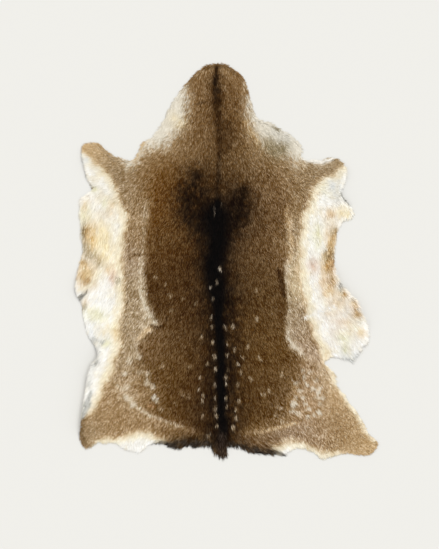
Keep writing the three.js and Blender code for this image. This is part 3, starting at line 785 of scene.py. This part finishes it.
def white_hair(x, y, past_edge, shade):
    """The white of the belly: cream beside the brown and ivory further out. Over it lie stains and
    painted shade by rims and creases, which are bell curves of uneven strength, and clouds of a straw
    tinge."""
    cream = np.broadcast_to(shade("cream"), (len(x), 3))
    colour = mix(cream, shade("ivory"), ease(past_edge, *BELLY_IVORY))
    for across, along, half_across, half_along, name, strength in STAINS:
        ratio2 = ((x - across) / half_across) ** 2 + ((y - along) / half_along) ** 2
        patchy = 0.85 + 0.45 * grain(x + 31 * across, 0.6 * y, *STAIN_PATCHES)
        cover = 1.35 * strength * patchy * np.exp(-0.8 * ratio2)
        colour = mix(colour, shade(name), np.clip(cover, 0, 1))
    tinge = ease(grain(x, y, *TINGE_CLOUDS) + 0.5 * grain(x, y, *TINGE_PATCHES), 0, 1)
    return mix(colour, shade("straw"), 0.22 * tinge)


def with_marks(colour, x, y, marks, blotches, shade):
    """A colour with lines and bands laid over it, each by its strength and by how far the place
    is under its brush stroke. Soft ones are blotchy."""
    for _, name, strength, sharpness, path in marks:
        patchy = blotches if sharpness < CLEAN else 1
        cover = strength * stroke(x, y, path, sharpness) * patchy
        colour = mix(colour, shade(name), np.clip(cover, 0, 1))
    return colour


def with_spots(colour, x, y, shade):
    """A colour with the spots laid over it: ovals with grainy edges, each a little larger or
    smaller and brighter or duller than its row says, by chance."""
    speckle = grain(x, y, *SPECKLES)
    chance = np.random.default_rng(SPOT_SEED)
    for _, name, half_across, half_along, strength, places in SPOTS:
        for across, along in places:
            size, bright = chance.uniform(0.75, 1.15), chance.uniform(0.6, 1.05)
            ratio = np.hypot((x - across) / half_across, (y - along) / half_along) / size
            cover = ease(1.4 - ratio + 0.45 * speckle, 0, 0.85)
            colour = mix(colour, shade(name), strength * bright * cover)
    return colour


def coat_colour(x, y, tones):
    """The colour of the hair whose root is at x and y, in millimetres from the spine, and whether
    it is white hair. Marks and spots are laid over the brown. Past the brown's edge the hair turns
    to biscuit and then to white, and the last marks go over everything. All edges wander."""
    def shade(name):
        """A tone by its name, as an array."""
        return np.array(getattr(tones, name))

    wander = 3.5 * grain(x, y, *EDGE_RIPPLES) + 3 * grain(x, y, *EDGE_WAVES)
    blotches = 1 + 0.35 * grain(x, y, *BLOTCHES) + 0.35 * grain(x, y, *SMALL_BLOTCHES)
    past_edge = -(distance_inside(x, y, BROWN_EDGE) + 1.2 * wander)
    colour = brown_hair(x, y, wander, shade)
    colour = with_marks(colour, x + 0.5 * wander, y, BROWN_MARKS, blotches, shade)
    colour = with_spots(colour, x, y, shade)
    colour = mix(colour, shade("biscuit"), 0.55 * ease(past_edge, *BELLY_WARMTH))
    colour = mix(colour, white_hair(x, y, past_edge, shade), ease(past_edge, *BELLY_WHITE))
    colour = with_marks(colour, x + 0.4 * wander, y + 0.4 * wander, LATE_MARKS, blotches, shade)
    return np.clip(colour, 0, 1), past_edge > 2


def coat_nap(x, y):
    """The direction in radians, the length in millimetres, the disorder in radians and the
    raggedness in millimetres of the hair at x and y, blended from a few places. Directions are
    blended as unit steps."""
    angle = np.radians([row[3] for row in NAP])
    values = np.stack([np.cos(angle), np.sin(angle), [row[4] for row in NAP],
                       np.radians([row[5] for row in NAP]), [row[6] for row in NAP]], axis=1)
    cosine, sine, length, disorder, ragged = blend_places(x, y, NAP, values).T
    return np.arctan2(sine, cosine), length, disorder, ragged


def hair_of_look(look, light, openness):
    """The colour of single hairs, in linear light, from the look of the coat they make: the look
    is divided by the light, and then by the share of light that is lost between the hairs. The
    paler the hairs are, the more of that light comes back from their neighbours."""
    seen = linear(look) / light
    return np.minimum(seen / (openness + (1 - openness) * seen), PALEST_HAIR)


def skin_room(lie, sizes):
    """How far each grid point of the lie is inside the skin's edge. Hair that points out over the
    rim hangs past the skin, so there the skin ends sooner."""
    x, y = lie.x.ravel(), lie.y.ravel()
    across, along = (x - sizes.spine_x) * 1000, y * 1000
    angle, _, _, ragged = coat_nap(across, along)
    ox, oy = lie.outward(x, y)
    outward = np.clip(ox * np.cos(angle) + oy * np.sin(angle), 0, 1)
    bare_rim = 0.003
    inset = bare_rim + (sizes.overhang - bare_rim + 0.0008 * ragged) * outward
    return lie.smoothed(lie.inward - inset.reshape(lie.x.shape), 1)


# ---------------------------------------------------------------------------------------------
# Meshes

def new_piece(name, points, faces, material, smooth):
    """An object from numpy points and equal-sided faces, on the frame's body, in place of its
    solid. The faces' corners are set as whole arrays."""
    mesh = bpy.data.meshes.new(name)
    sides = faces.shape[1]
    mesh.vertices.add(len(points))
    mesh.vertices.foreach_set("co", np.ascontiguousarray(points, dtype=np.float32).ravel())
    mesh.loops.add(faces.size)
    mesh.loops.foreach_set("vertex_index", faces.astype(np.int32).ravel())
    mesh.polygons.add(len(faces))
    mesh.polygons.foreach_set("loop_start", np.arange(0, faces.size, sides, dtype=np.int32))
    mesh.polygons.foreach_set("use_smooth", np.full(len(faces), smooth))
    mesh.update(calc_edges=True)
    if mesh.validate():
        raise RuntimeError(f"{name}: the mesh has faults")
    mesh.materials.append(material)
    piece = bpy.data.objects.new(name, mesh)
    bpy.context.scene.collection.objects.link(piece)
    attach(piece, BODY)
    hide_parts(NODE)
    return piece


def skin_surface(lie, room, sizes):
    """Points and faces of the flesh side: a square grid over the hide, of which the cells with
    their middle inside the skin's edge are kept. Points near the edge are moved onto it along the
    steepest way of the room, so that the outline comes out smooth."""
    step = sizes.skin_pitch
    columns = int((lie.x.max() - lie.x.min()) / step)
    rows = int((lie.y.max() - lie.y.min()) / step)
    x, y = np.meshgrid(lie.x0 + step * np.arange(columns + 1),
                       lie.y0 + step * np.arange(rows + 1), indexing="ij")
    number = np.arange(x.size).reshape(x.shape)
    cells = np.stack([number[:-1, :-1], number[1:, :-1], number[1:, 1:], number[:-1, 1:]], axis=2)
    middle = lie.at(room, x[:-1, :-1] + step / 2, y[:-1, :-1] + step / 2)
    cells = cells[middle > 0]
    kept, faces = np.unique(cells, return_inverse=True)
    faces = faces.reshape(-1, 4)
    x, y = x.ravel()[kept], y.ravel()[kept]
    sides = np.stack([faces, np.roll(faces, -1, axis=1)], axis=2).reshape(-1, 2)
    sides = np.sort(sides, axis=1)
    pairs, count = np.unique(sides, axis=0, return_counts=True)
    rim = np.unique(pairs[count == 1])
    gx, gy = np.gradient(room, lie.step)
    steps, least_slope2 = 4, 0.2
    for _ in range(steps):
        value = lie.at(room, x[rim], y[rim])
        sx, sy = lie.at(gx, x[rim], y[rim]), lie.at(gy, x[rim], y[rim])
        size2 = np.maximum(sx * sx + sy * sy, least_slope2)
        x[rim] -= value * sx / size2
        y[rim] -= value * sy / size2
    z = np.maximum(lie.at(lie.flesh, x, y), 0)
    return np.stack([x, y, z], axis=1), faces


# A lock of hair has four points: its root, its left and right at the widest, and its tip.
LOCK_FACES = np.array([(3, 1, 2), (0, 2, 1), (0, 1, 3), (0, 3, 2)])
# Each lock has a small field of its own in the colour map, and its points lie there.
LOCK_MAP = np.array([(0.5, 0.06), (0.06, 0.5), (0.94, 0.5), (0.5, 0.94)])
LOCK_ALONG = np.array([0.0, 0.45, 0.45, 1.0])
# The place along a hair where it is clear, with no band
CLEAR_BAND = 0.65


def planted_roots(lie, room, pitch, chance):
    """Where the locks grow: cells of a square lattice and a root in each, at random in the middle
    nine tenths of its cell, kept where the root has room on the skin."""
    least_room = 0.0004
    columns = int((lie.x.max() - lie.x.min()) / pitch)
    rows = int((lie.y.max() - lie.y.min()) / pitch)
    cell = np.stack(np.meshgrid(np.arange(columns), np.arange(rows), indexing="ij"), axis=2)
    cell = cell.reshape(-1, 2)
    roots = (cell + chance.uniform(0.05, 0.95, cell.shape)) * pitch + (lie.x0, lie.y0)
    grows = lie.at(room, *roots.T) > least_room
    return cell[grows], roots[grows]


def combed(lie, roots, across, along, chance):
    """The direction of each lock in radians, its length in metres, and from 0 to 1 how coarse its
    hair is. The nap's direction is thrown off by chance and by swirls, in shares of its disorder,
    and turned outward near the rim. The nap's length is taken in a chance share and cut where the
    lock would pass the rim by more than its slack. Where the rim is ragged, tufts reach further
    past it and the gaps between them fall short of it."""
    shortest = 0.004
    angle, nap_length, disorder, ragged = coat_nap(across, along)
    swirl = grain(across, along, *SWIRLS) + 0.8 * grain(across, along, *SMALL_SWIRLS)
    angle += disorder * (0.6 * chance.standard_normal(len(roots)) + swirl)
    inward = lie.at(lie.inward, *roots.T)
    ox, oy = lie.outward(*roots.T)
    splay = 1.5 * ease(inward, 0.012, 0.001)
    angle = np.arctan2(np.sin(angle) + splay * oy, np.cos(angle) + splay * ox)
    over = np.maximum(ox * np.cos(angle) + oy * np.sin(angle), 0.05)
    length = nap_length / 1000 * chance.uniform(0.65, 1.05, len(roots))
    rim_across, rim_along = across + 1000 * inward * ox, along + 1000 * inward * oy
    gap = ease(grain(rim_across, rim_along, *RIM_GAPS), -0.5, 0.6)
    slack = 0.0035 + 0.0006 * np.clip(ragged - 3, 0, 10)
    slack -= ragged / 1000 * (1.4 * gap + chance.uniform(0, 0.6, len(roots)))
    length = np.minimum(length, (inward + slack) / over)
    return angle, np.maximum(length, shortest), ease(nap_length, 15, 20)


def lock_levels(across, along, brightness, paleness, coarse, chance):
    """By what factor each lock is lighter or darker than the look of the coat: the exponential of
    a sum of chance and noise. Ripples lie across the nap, which leans 60 degrees back from
    straight across on either side. Dark and coarse hair is the most uneven, and the neck's is
    more even than the back's."""
    lean_across, lean_back = 0.5, 0.87
    down_nap = lean_across * np.abs(across) - lean_back * along
    over_nap = lean_back * np.abs(across) + lean_across * along
    uneven = 0.56 * chance.standard_normal(len(across)) + 0.24 * grain(across, along, *HAIR_TUFTS)
    uneven += 0.34 * grain(down_nap, over_nap / 2.4, *NAP_RIPPLES) + 0.20 * grain(across, along, *SHADING)
    uneven += 0.12 * grain(across, along, *BROAD_SHADING)
    bold = 1.6 - 0.35 * ease(brightness, 0.08, 0.25) - 0.42 * ease(brightness, 0.25, 0.5)
    uneven *= (bold - 0.62 * paleness) * (0.72 + 0.4 * coarse) * (1.08 - 0.34 * ease(along, 150, 330))
    uneven += 0.09 * paleness * grain(across, along, *PALE_SHADING)
    return np.clip(np.exp(uneven) * (0.88 + 0.09 * paleness), 0.15, 2.4)


def coat_shares(across, along, white):
    """The name of each part of the coat, and which locks are in it. Each lock is in one part."""
    free = np.ones(len(across), dtype=bool)
    for name, is_white, west, east, south, north in COAT_PARTS:
        part = free & (white == is_white) & (across > west) & (across <= east)
        part &= (along > south) & (along <= north)
        free &= ~part
        yield name, part
    if free.any():
        raise RuntimeError(f"{free.sum()} locks are in no part of the coat")


def lock_points(lie, roots, angle, length, width, lift, skin):
    """Points of all locks. A lock rises steeply from its root to its widest place and then lies
    over along the nap. The heights follow the skin and the top of the coat under each point, and
    toward the rim the coat comes down to what the hide lies on."""
    widest_at, middle_height, tip_height = 0.42, 0.84, 0.96
    least_depth, depth_at_rim, root_sunk = 0.0015, 0.15, 0.4
    forward = np.stack([np.cos(angle), np.sin(angle)], axis=1)
    side = np.stack([forward[:, 1], -forward[:, 0]], axis=1)
    half = side * (width / 2)[:, None]
    middle = roots + forward * (widest_at * length)[:, None]
    tip = roots + forward * length[:, None]

    def height(places, share):
        """A share of the coat's depth above the skin."""
        inward, flesh, top = (lie.at(values, *places.T) for values in (lie.inward, lie.flesh, lie.top))
        depth = np.maximum(top - flesh - skin, least_depth)
        thin = depth_at_rim + (1 - depth_at_rim) * ease(inward, -0.002, 0.016)
        return flesh + skin * ease(inward, -0.004, 0.003) + depth * thin * share

    points = np.empty((len(roots), 4, 3))
    points[:, 0, :2], points[:, 0, 2] = roots, height(roots, 0.0) - root_sunk * skin
    middle_z = height(middle, middle_height * lift)
    points[:, 1, :2], points[:, 1, 2] = middle - half, middle_z
    points[:, 2, :2], points[:, 2, 2] = middle + half, middle_z
    points[:, 3, :2], points[:, 3, 2] = tip, height(tip, tip_height * lift)
    return points


# ---------------------------------------------------------------------------------------------
# Materials

def node(tree, kind, at, settings=None, links=None):
    """Adds a node to a tree. Settings are properties or input values, or the stops of a ramp of
    greys, each with its place and level. Links name the sockets that feed its inputs."""
    made = tree.nodes.new(kind)
    made.location = at
    for key, value in (settings or {}).items():
        if key == "stops":
            elements = made.color_ramp.elements
            for _ in value[len(elements):]:
                elements.new(0.5)
            for element, (place, level) in zip(elements, value):
                element.position = place
                element.color = (level, level, level, 1)
        elif isinstance(key, int) or key in made.inputs:
            made.inputs[key].default_value = value
        else:
            setattr(made, key, value)
    for key, source in (links or {}).items():
        tree.links.new(source, made.inputs[key])
    return made


def new_material(name):
    """An empty material and its node tree."""
    material = bpy.data.materials.new(name)
    material.use_nodes = True
    material.node_tree.nodes.clear()
    return material, material.node_tree


def deer_hair():
    """Deer hair: hollow, slightly glossy hairs with a dull root, a clear band and a darker point.
    Each lock's own colour comes from the coat attribute, a little lighter or darker than its
    neighbours', which gives the coat its fine grain."""
    material, tree = new_material("deer hair")
    colour = node(tree, "ShaderNodeAttribute", (-1100, 200), {"attribute_name": "coat"})
    along = node(tree, "ShaderNodeAttribute", (-1100, -20), {"attribute_name": "along"})
    stops = (0, 0.35), (0.5, 0.7), (0.64, 1.0), (0.8, 0.95), (0.9, 0.55), (1.0, 0.45)
    bands = node(tree, "ShaderNodeValToRGB", (-880, -20), {"stops": stops},
                 {"Fac": along.outputs["Fac"]})
    base = node(tree, "ShaderNodeVectorMath", (-340, 120), {"operation": "SCALE"},
                {0: colour.outputs["Color"], "Scale": bands.outputs["Color"]})
    rough = node(tree, "ShaderNodeMapRange", (-340, -180),
                 {"From Min": 0.0, "From Max": 1.0, "To Min": 0.72, "To Max": 0.52},
                 {"Value": along.outputs["Fac"]})
    shader = node(tree, "ShaderNodeBsdfPrincipled", (-80, 60),
                  {"IOR": 1.45, "Specular IOR Level": 0.03},
                  {"Base Color": base.outputs[0], "Roughness": rough.outputs[0]})
    node(tree, "ShaderNodeOutputMaterial", (220, 60), links={"Surface": shader.outputs[0]})
    return material


def underfur():
    """Short underfur on the hair side of the skin: matt, felted, in the colour of the coat over
    it, so that no bare skin shows where the hair parts."""
    material, tree = new_material("underfur")
    colour = node(tree, "ShaderNodeAttribute", (-700, 120), {"attribute_name": "coat"})
    place = node(tree, "ShaderNodeTexCoord", (-900, -120))
    felt_mm = 2.5
    felt = node(tree, "ShaderNodeTexNoise", (-700, -120), {"Scale": 1000 / felt_mm, "Detail": 2.0},
                {"Vector": place.outputs["Object"]})
    level = node(tree, "ShaderNodeMapRange", (-480, -120), {"To Min": 0.55, "To Max": 1.0},
                 {"Value": felt.outputs["Fac"]})
    base = node(tree, "ShaderNodeVectorMath", (-260, 60), {"operation": "SCALE"},
                {0: colour.outputs["Color"], "Scale": level.outputs[0]})
    shader = node(tree, "ShaderNodeBsdfPrincipled", (-40, 60),
                  {"Roughness": 0.95, "Specular IOR Level": 0.02}, {"Base Color": base.outputs[0]})
    node(tree, "ShaderNodeOutputMaterial", (260, 60), links={"Surface": shader.outputs[0]})
    return material


def tanned_skin(suede):
    """Tanned skin, buffed on its flesh side: matt and pale, with cloudy tan and a short nap."""
    material, tree = new_material("tanned skin")
    place = node(tree, "ShaderNodeTexCoord", (-1300, 0))
    cloud_mm, nap_mm = 70, 1.6
    clouds = node(tree, "ShaderNodeTexNoise", (-1080, 160),
                  {"Scale": 1000 / cloud_mm, "Detail": 5.0, "Roughness": 0.6},
                  {"Vector": place.outputs["Object"]})
    nap = node(tree, "ShaderNodeTexNoise", (-1080, -140),
               {"Scale": 1000 / nap_mm, "Detail": 3.0, "Roughness": 0.7},
               {"Vector": place.outputs["Object"]})
    cloudy = node(tree, "ShaderNodeMapRange", (-840, 160),
                  {"From Min": 0.3, "From Max": 0.7, "To Min": 0.78, "To Max": 1.08},
                  {"Value": clouds.outputs["Fac"]})
    napped = node(tree, "ShaderNodeMapRange", (-840, -140),
                  {"From Min": 0.25, "From Max": 0.75, "To Min": 0.92, "To Max": 1.05},
                  {"Value": nap.outputs["Fac"]})
    level = node(tree, "ShaderNodeMath", (-620, 60), {"operation": "MULTIPLY"},
                 {0: cloudy.outputs[0], 1: napped.outputs[0]})
    base = node(tree, "ShaderNodeVectorMath", (-400, 60),
                {"operation": "SCALE", 0: tuple(linear(suede))}, {"Scale": level.outputs[0]})
    bump = node(tree, "ShaderNodeBump", (-400, -200), {"Strength": 0.35, "Distance": 0.0004},
                {"Height": nap.outputs["Fac"]})
    shader = node(tree, "ShaderNodeBsdfPrincipled", (-120, 60),
                  {"Roughness": 0.92, "Specular IOR Level": 0.2},
                  {"Base Color": base.outputs[0], "Normal": bump.outputs[0]})
    node(tree, "ShaderNodeOutputMaterial", (180, 60), links={"Surface": shader.outputs[0]})
    return material


def studio_paper(colour):
    """Matt background paper: even, with a barely visible fibre."""
    material, tree = new_material("studio paper")
    place = node(tree, "ShaderNodeTexCoord", (-900, 0))
    fibre_mm = 3
    fibre = node(tree, "ShaderNodeTexNoise", (-700, 0), {"Scale": 1000 / fibre_mm, "Detail": 2.0},
                 {"Vector": place.outputs["Object"]})
    bump = node(tree, "ShaderNodeBump", (-440, -120), {"Strength": 0.02, "Distance": 0.0002},
                {"Height": fibre.outputs["Fac"]})
    shader = node(tree, "ShaderNodeBsdfPrincipled", (-160, 60),
                  {"Base Color": (*linear(colour), 1), "Roughness": 0.95,
                   "Specular IOR Level": 0.0}, {"Normal": bump.outputs[0]})
    node(tree, "ShaderNodeOutputMaterial", (140, 60), links={"Surface": shader.outputs[0]})
    return material


# ---------------------------------------------------------------------------------------------
# Operators

def settings_of(context):
    """The hide's settings in the scene."""
    return context.scene.deer_hide


def light_on_floor(stage):
    """The light on level ground: the fill light, and the key light times its steepness over pi."""
    steepness = Vector(stage.sun_from).normalized().z
    return stage.sky + stage.sun * steepness / math.pi


def hide_lie(sizes):
    """The lie of the frame's solid, and the room on the skin."""
    lie = Lie(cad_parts[NODE], sizes.field_step)
    return lie, skin_room(lie, sizes)


class LayDownSkin(bpy.types.Operator):
    """Cut the tanned skin and lay it down flesh side under"""
    bl_idname = "pelt.lay_down_skin"
    bl_label = "Lay Down Skin"

    def execute(self, context):
        settings = settings_of(context)
        sizes = settings.sizes
        lie, room = hide_lie(sizes)
        points, faces = skin_surface(lie, room, sizes)
        if len(faces) == 0:
            raise RuntimeError("the skin has no faces")
        skin = new_piece("tanned_skin", points, faces, underfur(), smooth=True)
        look, _ = coat_colour((points[:, 0] - sizes.spine_x) * 1000, points[:, 1] * 1000,
                              settings.tones)
        full = np.ones((len(points), 4), dtype=np.float32)
        full[:, :3] = linear(look)
        coat = skin.data.attributes.new("coat", "FLOAT_COLOR", "POINT")
        coat.data.foreach_set("color", full.ravel())
        skin.data.materials.append(tanned_skin(settings.tones.suede))
        solid = skin.modifiers.new("thickness", "SOLIDIFY")
        solid.thickness = sizes.skin_thickness
        solid.offset = 1
        solid.material_offset = 1
        solid.material_offset_rim = 1
        return {"FINISHED"}


class GrowCoat(bpy.types.Operator):
    """Grow the coat of hair on the skin, lock by lock, in its colours and its nap"""
    bl_idname = "pelt.grow_coat"
    bl_label = "Grow Coat"

    def execute(self, context):
        settings = settings_of(context)
        sizes = settings.sizes
        lie, room = hide_lie(sizes)
        chance = np.random.default_rng(sizes.seed)
        cell, roots = planted_roots(lie, room, sizes.lock_spacing, chance)
        across, along = (roots[:, 0] - sizes.spine_x) * 1000, roots[:, 1] * 1000
        angle, length, coarse = combed(lie, roots, across, along, chance)
        width = sizes.lock_width * chance.uniform(0.7, 1.2, len(roots))
        lift = chance.uniform(0.84, 1.0, len(roots))
        points = lock_points(lie, roots, angle, length, width, lift, sizes.skin_thickness)

        # A lock has the colour of the place where most of it shows, give or take a little.
        shown_mm = MOST_SHOWN * 1000 * length
        stray = chance.normal(0, 1.3, (2, len(roots)))
        look, white = coat_colour(across + shown_mm * np.cos(angle) + stray[0],
                                  along + shown_mm * np.sin(angle) + stray[1], settings.tones)
        brightness = look.mean(axis=1)
        paleness = ease(brightness, 0.5, 0.85)
        level = lock_levels(across, along, brightness, paleness, coarse, chance)
        shift = (brightness + 0.03) * (level ** (1 / 2.2) - 1)
        look = np.clip(look + shift[:, None], 0.004, 1)
        colour = hair_of_look(look, light_on_floor(settings.stage), sizes.openness)

        material = deer_hair()
        coats = [coat_piece(name, points[part], colour[part], paleness[part], cell[part], material)
                 for name, part in coat_shares(across, along, white)]
        return {"FINISHED"}


def coat_piece(name, points, colour, paleness, cell, material):
    """One part of the coat: all its locks as one mesh, with their colour, their place along the
    hair and their fields in the colour map as attributes. Pale hair has no bands, so all of it
    is put in the clear band."""
    count, corners = points.shape[:2]
    if count == 0:
        raise RuntimeError(f"{name} has no hair")
    faces = (LOCK_FACES[None] + corners * np.arange(count)[:, None, None]).reshape(-1, 3)
    piece = new_piece(name, points.reshape(-1, 3), faces, material, smooth=False)
    mesh = piece.data
    coat = mesh.attributes.new("coat", "FLOAT_COLOR", "POINT")
    full = np.ones((count, corners, 4), dtype=np.float32)
    full[:, :, :3] = colour[:, None, :]
    coat.data.foreach_set("color", full.ravel())
    along = mesh.attributes.new("along", "FLOAT", "POINT")
    placed = LOCK_ALONG + (CLEAR_BAND - LOCK_ALONG) * paleness[:, None]
    along.data.foreach_set("value", placed.astype(np.float32).ravel())
    low = cell.min(axis=0)
    span = (cell.max(axis=0) - low + 1).max()
    fields = ((cell - low)[:, None, :] + LOCK_MAP[None]).reshape(-1, 2) / span
    layer = mesh.uv_layers.new(name="OFBake")
    layer.data.foreach_set("uv", fields[faces.ravel()].astype(np.float32).ravel())
    return piece


class SetStage(bpy.types.Operator):
    """Lay the paper floor, hang the soft lights and set the camera above the hide"""
    bl_idname = "pelt.set_stage"
    bl_label = "Set Stage"

    def execute(self, context):
        stage = settings_of(context).stage
        scene = context.scene
        half, down = stage.floor_width / 2, -0.0004
        corners = [(-half, -half, down), (half, -half, down), (half, half, down), (-half, half, down)]
        mesh = bpy.data.meshes.new("floor")
        mesh.from_pydata(corners, [], [(0, 1, 2, 3)])
        mesh.materials.append(studio_paper(stage.floor))
        floor = bpy.data.objects.new("floor", mesh)
        scene.collection.objects.link(floor)

        world = bpy.data.worlds.new("studio")
        world.use_nodes = True
        background = world.node_tree.nodes["Background"]
        background.inputs["Color"].default_value = (1.0, 1.0, 0.995, 1)
        background.inputs["Strength"].default_value = stage.sky
        scene.world = world
        sun = bpy.data.lights.new("key light", "SUN")
        sun.energy = stage.sun
        sun.angle = stage.sun_width
        sun.color = (1.0, 0.998, 0.99)
        lamp = bpy.data.objects.new("key light", sun)
        lamp.rotation_euler = Vector(stage.sun_from).to_track_quat("Z", "Y").to_euler()
        scene.collection.objects.link(lamp)

        lens = bpy.data.cameras.new("camera")
        lens.sensor_width = 36
        lens.lens = lens.sensor_width * stage.camera_height / stage.picture_height
        camera = bpy.data.objects.new("camera", lens)
        camera.location = (*stage.aim, stage.camera_height)
        scene.collection.objects.link(camera)
        scene.camera = camera
        scene.view_settings.view_transform = "Standard"
        return {"FINISHED"}


class HidePanel(bpy.types.Panel):
    """Lists the steps and their settings in the sidebar"""
    bl_idname = "VIEW3D_PT_deer_hide"
    bl_label = "Fallow Deer Hide"
    bl_space_type = "VIEW_3D"
    bl_region_type = "UI"
    bl_category = "Hide"

    def draw(self, context):
        """A button for each operator, and a box for each group of settings."""
        settings = settings_of(context)
        for operator in OPERATORS:
            self.layout.operator(operator.bl_idname)
        for group in (settings.sizes, settings.stage, settings.tones):
            box = self.layout.box()
            for name in group.__annotations__:
                box.prop(group, name)


OPERATORS = (LayDownSkin, GrowCoat, SetStage)
CLASSES = (CoatTones, HideSizes, StageSizes, HideSettings) + OPERATORS + (HidePanel,)


def register():
    """Makes the classes known to Blender, and gives the scene its settings."""
    for item in CLASSES:
        bpy.utils.register_class(item)
    bpy.types.Scene.deer_hide = PointerProperty(type=HideSettings)


def unregister():
    """Takes away what register added."""
    del bpy.types.Scene.deer_hide
    for item in reversed(CLASSES):
        bpy.utils.unregister_class(item)


def main():
    """Builds the hide and its stage."""
    register()
    bpy.ops.pelt.lay_down_skin()
    bpy.ops.pelt.grow_coat()
    bpy.ops.pelt.set_stage()


if __name__ == "__main__":
    main()
